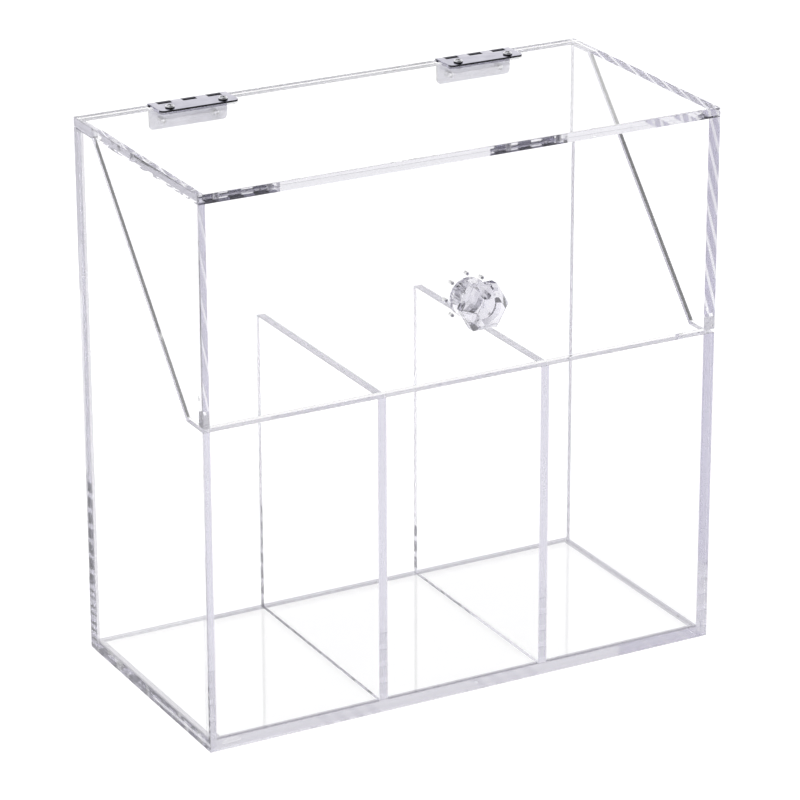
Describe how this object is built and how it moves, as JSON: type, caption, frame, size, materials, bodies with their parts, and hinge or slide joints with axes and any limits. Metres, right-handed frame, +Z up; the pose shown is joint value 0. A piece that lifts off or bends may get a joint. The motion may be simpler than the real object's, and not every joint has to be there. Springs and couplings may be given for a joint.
{
  "type": "clear lidded compartment box",
  "caption": "Clear acrylic box with upright compartments, a knob and a flip-up lid whose top, upper front and slanted cheeks swing over the back on hinges.",
  "frame": {"origin": "centre of the base panel's underside, on the surface that the box stands on", "axes": "+X to the right as seen from the front, -Y towards the front with the knob, +Z up"},
  "size_m": [0.3, 0.1756, 0.3026],
  "materials": {
    "acrylic_sheet": "clear cast acrylic sheet, polished faces, pale grey-lilac cut edges",
    "clear_knob": "clear moulded acrylic with flat polished facets",
    "hinge_metal": "bright pressed steel with fine scratches",
    "screw_steel": "bright plated, cross-recess pan heads"
  },
  "bodies": {
    "box": {"base_panel": "acrylic_sheet", "back_panel": "acrylic_sheet", "left_side_panel": "acrylic_sheet", "right_side_panel": "acrylic_sheet", "lower_front_panel": "acrylic_sheet", "left_divider": "acrylic_sheet", "right_divider": "acrylic_sheet", "left_hinge_back_leaf": "hinge_metal", "left_hinge_pin": "hinge_metal", "left_hinge_back_screw_1": "screw_steel", "left_hinge_back_screw_2": "screw_steel", "right_hinge_back_leaf": "hinge_metal", "right_hinge_pin": "hinge_metal", "right_hinge_back_screw_1": "screw_steel", "right_hinge_back_screw_2": "screw_steel"},
    "lid": {"lid_top_panel": "acrylic_sheet", "lid_front_panel": "acrylic_sheet", "lid_left_cheek": "acrylic_sheet", "lid_right_cheek": "acrylic_sheet", "knob": "clear_knob", "knob_screw": "screw_steel", "left_hinge_lid_leaf": "hinge_metal", "left_hinge_lid_screw_1": "screw_steel", "left_hinge_lid_screw_2": "screw_steel", "right_hinge_lid_leaf": "hinge_metal", "right_hinge_lid_screw_1": "screw_steel", "right_hinge_lid_screw_2": "screw_steel"}
  },
  "joints": [
    {"name": "lid_hinge", "type": "hinge", "parent": "box", "child": "lid", "pos_m": [0, 0.073, 0.299], "axis": [-1, 0, 0], "range_deg": [0, 215]}
  ]
}
